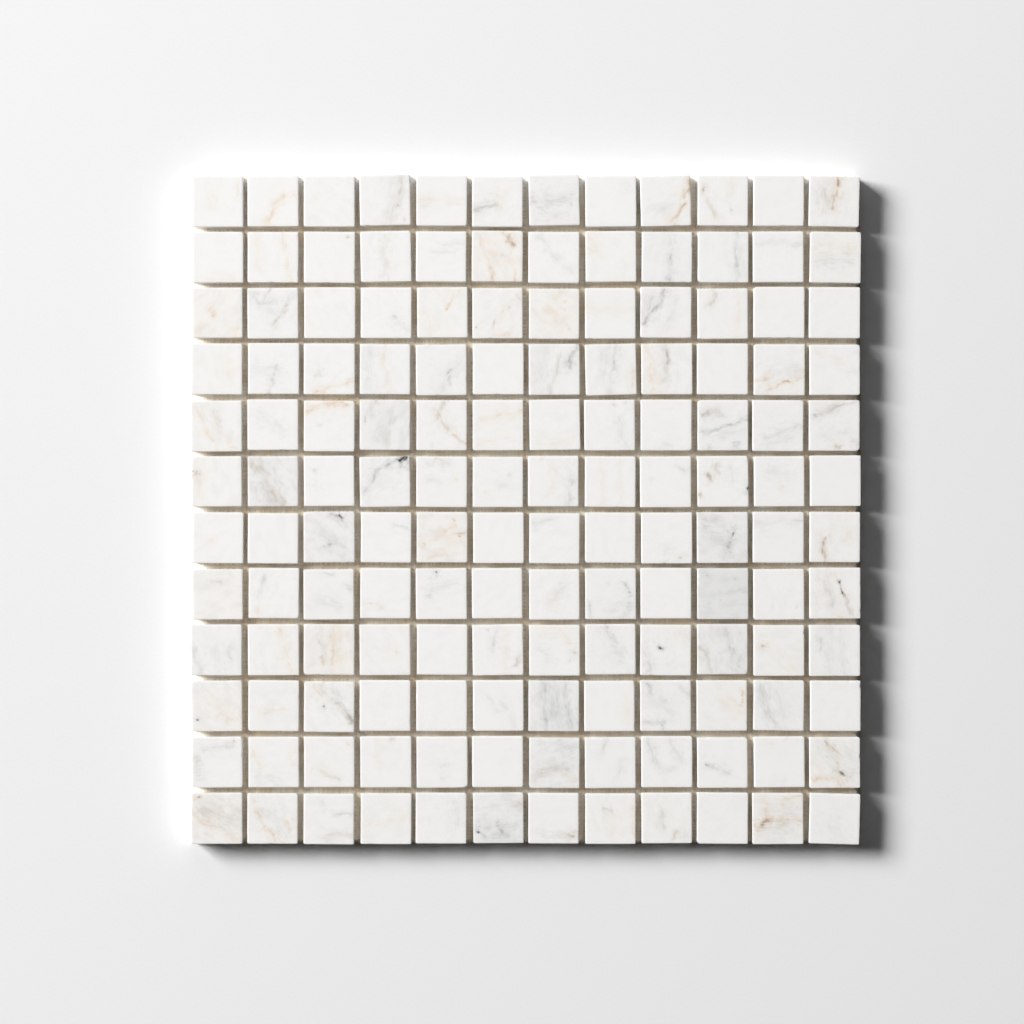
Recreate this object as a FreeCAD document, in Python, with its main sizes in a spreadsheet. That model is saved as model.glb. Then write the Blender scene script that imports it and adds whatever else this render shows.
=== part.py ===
import FreeCAD, Part

import os
import random

import Sketcher

# Marble mosaic tile sheet, in millimetres.
# Square marble tiles stand a joint apart on one thin sheet of glass-fibre net set in glue.
# The sheet lies flat and face up: the net's underside is z = 0 and its middle is the origin.
# x runs to the right along a row of tiles, y runs up the sheet, and row 1 is the row furthest up.

# how many tiles make the sheet
TILES_ACROSS = 12
TILES_DOWN = 12

# driving dimensions: alias, value, what it is
DIMENSIONS = [
    ("tile_side", 23.0, "side of a square tile"),
    ("tile_thickness", 9.5, "height of a tile above the net"),
    ("saw_tolerance", 0.15, "how much wider or narrower than tile_side an odd cut is"),
    ("corner_ease", 0.6, "cut that takes the sharpness off a tile's upright corners"),
    ("arris_ease", 0.4, "cut that takes the sharpness off the edges round a tile's face"),
    ("joint_width", 2.4, "open joint between two tiles, left for the grout"),
    ("lay_slip", 0.35, "furthest that a tile is laid off its true place, each way"),
    ("lay_turn", 0.45, "furthest that an ordinary tile is turned, in degrees"),
    ("askew_turn", 1.0, "turn of a tile that sits visibly askew, in degrees"),
    ("net_thickness", 0.5, "net and glue under the tiles"),
    ("net_setback", 0.2, "how far the net's cut edge stays inside the outer tiles"),
    ("glue_tab_reach", 1.2, "how far the glue at a joint's end stands out past the outer tiles"),
    ("glue_tab_flare", 0.5, "how much wider than the joint, each side, a glue tab starts"),
]

# The tiles that sit visibly askew, by row and place in the row, as shares of askew_turn.
# A positive turn is anticlockwise, seen from above.
ASKEW_TILES = {
    (1, 4): 1.1,
    (1, 7): 1.1,
    (1, 9): 1.4,
    (1, 12): -1.1,
    (2, 4): 1.0,
    (2, 12): -0.8,
    (4, 8): 1.3,
    (5, 7): 0.8,
    (6, 4): 1.0,
    (9, 6): 0.9,
    (10, 11): -0.7,
    (12, 12): -1.5,
}

# the same hand lays every sheet, so the wander of its tiles comes out the same each time
LAYING_SEED = 23

PITCH = "(sizes.tile_side + sizes.joint_width)"

doc = FreeCAD.newDocument("mosaic_tile_sheet")


def add_sizes():
    """The sheet of driving dimensions, one alias a row."""
    sheet = doc.addObject("Spreadsheet::Sheet", "sizes")
    for row, (alias, value, meaning) in enumerate(DIMENSIONS, start=1):
        sheet.set(f"A{row}", meaning)
        sheet.set(f"B{row}", str(value))
        sheet.setAlias(f"B{row}", alias)
    doc.recompute()


def value_of(expression):
    """What an expression comes to at the present sizes, for a drawing's first strokes."""
    return float(doc.getObject("sizes").evalExpression(expression))


def origin_part(body, role):
    """One of a body's own origin planes or axes."""
    return next(part for part in body.Origin.OriginFeatures if part.Role == role)


def floor_sketch(body, name):
    """A sketch on the body's own horizontal plane."""
    sketch = body.newObject("Sketcher::SketchObject", name)
    sketch.AttachmentSupport = [(origin_part(body, "XY_Plane"), "")]
    sketch.MapMode = "FlatFace"
    return sketch


def draw_ring(sketch, corners):
    """A closed ring of straight edges through the corners, joined end to start."""
    points = [FreeCAD.Vector(x, y, 0) for x, y in corners]
    count = len(points)
    for here, there in zip(points, points[1:] + points[:1]):
        sketch.addGeometry(Part.LineSegment(here, there), False)
    for edge in range(count):
        sketch.addConstraint(Sketcher.Constraint("Coincident", edge, 2, (edge + 1) % count, 1))


def bind(sketch, kind, references, name, expression):
    """A dimension of the sketch, tied to the driving dimensions."""
    index = sketch.addConstraint(Sketcher.Constraint(kind, *references, value_of(expression)))
    sketch.renameConstraint(index, name)
    sketch.setExpression(f"Constraints.{name}", expression)


def square_slab(body, name, side, thickness):
    """A square slab about the body's origin, standing on its horizontal plane."""
    sketch = floor_sketch(body, name + "_outline")
    half = value_of(side) / 2
    draw_ring(sketch, [(-half, -half), (half, -half), (half, half), (-half, half)])
    for edge, direction in enumerate(["Horizontal", "Vertical", "Horizontal", "Vertical"]):
        sketch.addConstraint(Sketcher.Constraint(direction, edge))
    sketch.addConstraint(Sketcher.Constraint("Symmetric", 0, 1, 1, 2, -1, 1))
    bind(sketch, "Distance", (0,), "width", side)
    bind(sketch, "Distance", (1,), "depth", side)
    slab = body.newObject("PartDesign::Pad", name)
    slab.Profile = sketch
    slab.setExpression("Length", thickness)
    doc.recompute()
    return slab


def names_of(kind, shapes, wanted):
    """The names, such as Edge7, of those shapes that are wanted."""
    return [f"{kind}{number}" for number, shape in enumerate(shapes, start=1) if wanted(shape)]


def is_upright(edge):
    return abs(edge.tangentAt(edge.FirstParameter).z) > 0.99


def is_face_up(face):
    return face.normalAt(0, 0).z > 0.99


def ease(body, name, base, kind, shapes, wanted, size):
    """A small even cut along the wanted edges, or round the wanted faces, of the feature before."""
    cut = body.newObject("PartDesign::Chamfer", name)
    cut.Base = (base, names_of(kind, shapes, wanted))
    cut.setExpression("Size", size)
    doc.recompute()
    return cut


def make_tile(name, side):
    """One marble tile: sawn square, its upright corners and the edges of its face eased."""
    body = doc.addObject("PartDesign::Body", name)
    slab = square_slab(body, name + "_slab", side, "sizes.tile_thickness")
    shape = slab.Shape
    corners = ease(body, name + "_corners", slab, "Edge", shape.Edges, is_upright, "sizes.corner_ease")
    shape = corners.Shape
    body.Tip = ease(body, name + "_arris", corners, "Face", shape.Faces, is_face_up, "sizes.arris_ease")
    doc.recompute()
    return body


def make_tile_row(row, cuts, hand):
    """The tiles of one row, each a cut picked at random and laid a little off its true place."""
    tiles = []
    for column in range(1, TILES_ACROSS + 1):
        tile = doc.addObject("App::Link", f"tile_{row:02d}_{column:02d}")
        tile.LinkedObject = hand.choice(cuts)
        slip_x = hand.uniform(-1, 1)
        slip_y = hand.uniform(-1, 1)
        small_turn = hand.uniform(-1, 1)
        steps_right = column - (TILES_ACROSS + 1) / 2
        steps_up = (TILES_DOWN + 1) / 2 - row
        turn = f"sizes.lay_turn * {small_turn:.2f}"
        if (row, column) in ASKEW_TILES:
            turn = f"sizes.askew_turn * {ASKEW_TILES[row, column]}"
        tile.setExpression("Placement.Base.x", f"{PITCH} * {steps_right} + sizes.lay_slip * {slip_x:.2f}")
        tile.setExpression("Placement.Base.y", f"{PITCH} * {steps_up} + sizes.lay_slip * {slip_y:.2f}")
        tile.setExpression("Placement.Base.z", "sizes.net_thickness")
        tile.setExpression("Placement.Rotation.Angle", turn)
        tiles.append(tile)
    compound = doc.addObject("Part::Compound", f"tile_row_{row:02d}")
    compound.Links = tiles
    return compound


def make_mesh_backing():
    """The net and its glue: one thin square, with a small tab of glue at each end of each joint."""
    field = f"({PITCH} * {TILES_ACROSS} - sizes.joint_width)"
    first_joint = f"{PITCH} * {TILES_ACROSS / 2 - 1}"
    body = doc.addObject("PartDesign::Body", "mesh_backing")
    square_slab(body, "net", f"{field} - 2 * sizes.net_setback", "sizes.net_thickness")

    # the tab at the left end of the top side, widest where it leaves the sheet and
    # as wide as the joint at its tip
    base = "sizes.joint_width + 2 * sizes.glue_tab_flare"
    foot = f"{field} / 2 - sizes.net_setback"
    reach = f"{field} / 2 + sizes.glue_tab_reach"
    left = f"{first_joint} + ({base}) / 2"
    half_base = value_of(base) / 2
    half_tip = value_of("sizes.joint_width") / 2
    middle = -value_of(first_joint)
    low = value_of(foot)
    high = value_of(reach)
    sketch = floor_sketch(body, "glue_tab_outline")
    draw_ring(
        sketch,
        [
            (middle - half_base, low),
            (middle + half_base, low),
            (middle + half_tip, high),
            (middle - half_tip, high),
        ],
    )
    sketch.addConstraint(Sketcher.Constraint("Horizontal", 0))
    sketch.addConstraint(Sketcher.Constraint("Horizontal", 2))
    sketch.addConstraint(Sketcher.Constraint("Equal", 1, 3))
    bind(sketch, "Distance", (0,), "base", base)
    bind(sketch, "Distance", (2,), "tip", "sizes.joint_width")
    bind(sketch, "DistanceY", (-1, 1, 0, 1), "foot", foot)
    bind(sketch, "DistanceY", (-1, 1, 2, 1), "reach", reach)
    bind(sketch, "DistanceX", (0, 1, -1, 1), "left", left)
    tab = body.newObject("PartDesign::Pad", "glue_tab")
    tab.Profile = sketch
    tab.setExpression("Length", "sizes.net_thickness")
    doc.recompute()

    tabs = body.newObject("PartDesign::MultiTransform", "glue_tabs")
    tabs.Originals = [tab]
    along_one_side = body.newObject("PartDesign::LinearPattern", "along_one_side")
    along_one_side.Direction = (origin_part(body, "X_Axis"), [""])
    along_one_side.Occurrences = TILES_ACROSS - 1
    along_one_side.setExpression("Length", f"{PITCH} * {TILES_ACROSS - 2}")
    round_four_sides = body.newObject("PartDesign::PolarPattern", "round_four_sides")
    round_four_sides.Axis = (origin_part(body, "Z_Axis"), [""])
    round_four_sides.Occurrences = 4
    round_four_sides.Angle = 360
    tabs.Transformations = [along_one_side, round_four_sides]
    body.Tip = tabs
    doc.recompute()
    return body


def check(parts):
    """Stops if an object failed, or if a sub-part isn't a sound shape with the solids it should have."""
    for item in doc.Objects:
        if "Invalid" in item.State or "Error" in item.State:
            raise RuntimeError(f"{item.Name} failed: {item.State}")
    for part, solids in parts:
        if part.Shape.isNull() or not part.Shape.isValid():
            raise RuntimeError(f"{part.Label} has no valid shape")
        if len(part.Shape.Solids) != solids:
            raise RuntimeError(f"{part.Label} has {len(part.Shape.Solids)} solids, not {solids}")


add_sizes()
tile_cuts = [
    make_tile("tile_true", "sizes.tile_side"),
    make_tile("tile_wide", "sizes.tile_side + sizes.saw_tolerance"),
    make_tile("tile_narrow", "sizes.tile_side - sizes.saw_tolerance"),
]
laying_hand = random.Random(LAYING_SEED)
sub_parts = [(make_mesh_backing(), 1)]
for row_number in range(1, TILES_DOWN + 1):
    sub_parts.append((make_tile_row(row_number, tile_cuts, laying_hand), TILES_ACROSS))
doc.recompute()
check(sub_parts)

os.makedirs("parts", exist_ok=True)
for part, solids in sub_parts:
    part.Shape.exportStep(f"parts/{part.Label}.step")
    box = part.Shape.BoundBox
    print(f"{part.Label}: {solids} solids, {box.XLength:.2f} x {box.YLength:.2f} x {box.ZLength:.2f} mm")
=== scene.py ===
import math
import random

import bmesh
import bpy
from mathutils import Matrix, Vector, noise


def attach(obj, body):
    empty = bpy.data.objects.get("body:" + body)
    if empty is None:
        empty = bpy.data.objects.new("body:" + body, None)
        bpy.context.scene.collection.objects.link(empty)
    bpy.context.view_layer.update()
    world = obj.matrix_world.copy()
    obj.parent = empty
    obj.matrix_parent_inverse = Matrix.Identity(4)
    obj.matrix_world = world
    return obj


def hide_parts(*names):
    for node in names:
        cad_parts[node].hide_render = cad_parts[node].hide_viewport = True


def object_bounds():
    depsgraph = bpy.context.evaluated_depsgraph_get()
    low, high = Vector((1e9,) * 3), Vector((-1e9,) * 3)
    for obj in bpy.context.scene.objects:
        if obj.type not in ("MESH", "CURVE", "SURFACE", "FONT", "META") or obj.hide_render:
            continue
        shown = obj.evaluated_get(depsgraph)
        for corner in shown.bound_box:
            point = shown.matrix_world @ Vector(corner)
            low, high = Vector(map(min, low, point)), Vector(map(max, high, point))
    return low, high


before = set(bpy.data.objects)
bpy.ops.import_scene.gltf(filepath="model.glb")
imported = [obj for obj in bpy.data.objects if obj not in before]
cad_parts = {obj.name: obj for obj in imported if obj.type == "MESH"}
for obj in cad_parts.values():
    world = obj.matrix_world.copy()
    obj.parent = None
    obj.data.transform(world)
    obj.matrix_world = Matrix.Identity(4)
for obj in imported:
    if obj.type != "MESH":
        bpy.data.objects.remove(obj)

# The looks of a sheet of white marble mosaic: 144 sawn tiles on a glass-fibre net set in khaki glue.
# It lies face up on a pale studio floor and is seen from straight above.
# Lengths are in metres where they are Blender's, and in millimetres in names that end in _mm or _MM.
# A pair in brackets is the least and the most that chance can give, unless its comment says otherwise.

MM = 0.001
cad_low, cad_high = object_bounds()

TILES_ACROSS = 12
TILES_DOWN = 12
PITCH_MM = (cad_high.x - cad_low.x) / TILES_ACROSS / MM
SHEET_HALF_MM = cad_high.x / MM

# where in the noise each side, tile or strand begins, so that no two look the same
NOISE_SHIFT = (0, 100)
SEED_SHIFT = (-50, 50)

# a tile's outline, seen from above: now and then one of its corners is worn round
CORNER_RADIUS_MM = (0.45, 0.9)
WORN_CORNER_RADIUS_MM = (1.2, 1.7)
WORN_CORNER_CHANCE = 0.18
POINTS_A_SIDE = 18
STEPS_ROUND_A_CORNER = 4

# the edge round a tile's face, its wear and its chips
ARRIS_RADIUS_MM = 0.15
STEPS_OVER_AN_ARRIS = 4
FACE_MARGIN_MM = 1.3
WEAR_MM = 0.07
WEAR_EVERYWHERE = 0.15
WEAR_PER_MM = 0.45
MOST_OF_A_CORNER = 0.85
CHIPS_ON_A_TILE = (0, 1, 1, 2, 3)
CHIP_REACH_MM = (0.5, 1.3)
CHIP_DEPTH_MM = (0.12, 0.5)
CHIP_DROP_PER_MM = 0.6

# a tile's sawn sides: heights of their rings as shares of the tile's, and the set-back foot
SIDE_RINGS = (0.66, 0.33, 0.04, 0.0)
FOOT_INSET_MM = 0.25
SAW_WANDER_MM = 0.07
SAW_WANDER_SHARE = 0.5
SAW_ALONG_PER_MM = 0.25
SAW_DOWN_PER_MM = 0.12

# The map that the marble is baked to has a cell for each tile of a row. In the cell lie the tile's
# face, its underside, drawn small, and its sides, as a strip. All are shares of the whole map.
MAP_CELLS_ACROSS = 4
MAP_CELLS_DOWN = 3
MAP_FACE = 0.22347
MAP_FACE_MIDDLE = 0.125
MAP_ARRIS_STEP = 0.012
MAP_UNDERSIDE = 0.012
MAP_UNDERSIDE_MIDDLE = 0.254
MAP_SIDES_LEFT = 0.008
MAP_SIDES_LENGTH = 0.234
MAP_SIDES_TOP = 0.318
MAP_SIDES_HEIGHT = 0.052

# the glue that was pressed up into the joints, which is lower at the sheet's edges
JOINT_FLOOR_MM = 4.7
EDGE_FLOOR_MM = 0.45
LEFT_SLOPE_MM = 9.0
TOP_SLOPE_MM = 3.0
OTHER_SLOPE_MM = 1.0
EDGE_SETBACK_MM = 1.4
EDGE_WANDER_MM = 0.22
EDGE_WANDER_INWARD = 0.6
EDGE_WANDER_PER_MM = 0.5

# how its top stands above that: beside the tiles, in lumps, over the net and where two joints cross
TROUGH_HALF_MM = 0.5
TROUGH_SIDE_MM = 0.75
BESIDE_TILE_RISE_MM = 0.32
WIDE_LUMP_MM = 0.09
WIDE_LUMPS_PER_MM = 0.4
SMALL_LUMP_MM = 0.05
STRAND_RISE_MM = 0.08
STRAND_RISE_HALF_MM = 0.45
KNOT_RISE_MM = 0.35
KNOT_AREA_MM2 = 0.8

# the lines of the glue's grid at a joint, from the joint's middle, and the grid's steps under a tile
JOINT_LINES_MM = (-2.1, -1.2, -0.8, -0.4, 0.0, 0.4, 0.8, 1.2, 2.1)
STEPS_UNDER_A_TILE = 21

# the flat seat under each tile, and the flat underside
SEAT_HEIGHT_MM = 0.42
SEAT_SHARE = 0.97
GLUE_UNDERSIDE_MM = 0.24

# the tongues of glue at the joints' ends
TAB_LIMIT_MM = SHEET_HALF_MM - 0.02
TAB_REACH_MM = (0.75, 1.3)
TAB_LEAN_MM = (-0.4, 0.4)
TAB_STEPS = (0.3, 0.6, 0.85, 1.0)
TAB_WIDTH = 1.25
TAB_TAPER = 0.8
TAB_TOP_MM = 0.44
TAB_DROOP_MM = 0.1

# the net: its strands, how far their ends stop short of the glue's edge, and the yarns seen through it
STRAND_PITCH_MM = 4.6
STRAND_WIDTH_MM = 0.55
STRAND_THICKNESS_MM = 0.2
STRAND_WAVE_MM = 0.1
STRAND_SHORT_MM = (-0.2, 0.4)
STRAND_WANDER_MM = 0.3
STRAND_WANDER_PER_MM = 0.05
YARN_PITCH_MM = 1.2

# edges of the glue and the net that turn by more than this stay crisp
CRISP_ANGLE = math.radians(75)

# lamps: the large softbox from the left, a card from the top, and the even fill, as shares of white
KEY_PLACE = Vector((-6.35, 2.9, 4.1))
KEY_WIDTH = 4.0
KEY_HEIGHT = 2.9
KEY_LEVEL = 0.94
CARD_PLACE = Vector((-0.2, 1.1, 0.7))
CARD_SIZE = 1.0
CARD_LEVEL = 0.068
FILL_LEVEL = 0.03

# the floor, the white that the camera sees beyond it, and from where to where the one turns into the other
FLOOR_RADIUS = 40.0
FLOOR_COLOUR = (0.845, 0.848, 0.85)
BACKDROP_LEVEL = 0.93
BACKDROP_BLEND = (0.45, 1.6)

# the camera, with its place over the sheet as x and y
CAMERA_PLACE = (-0.00628, -0.00108)
CAMERA_HEIGHT = 1.8
VIEW_WIDTH = 0.4631
SENSOR_WIDTH_MM = 36.0

# What a stroke of each kind does to the white stone: how warm it is, from peach to rust,
# and how grey, from smoke to black.
KINDS = {
    "peach": (0.16, 0.0),
    "tan": (0.28, 0.0),
    "orange": (0.45, 0.0),
    "rust": (0.75, 0.1),
    "brown": (0.42, 0.24),
    "olive": (0.2, 0.17),
    "mauve": (0.1, 0.13),
    "smoke": (0.0, 0.09),
    "grey": (0.0, 0.17),
    "slate": (0.0, 0.3),
    "black": (0.0, 1.0),
    "speck": (0.0, 1.8),
}

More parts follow.
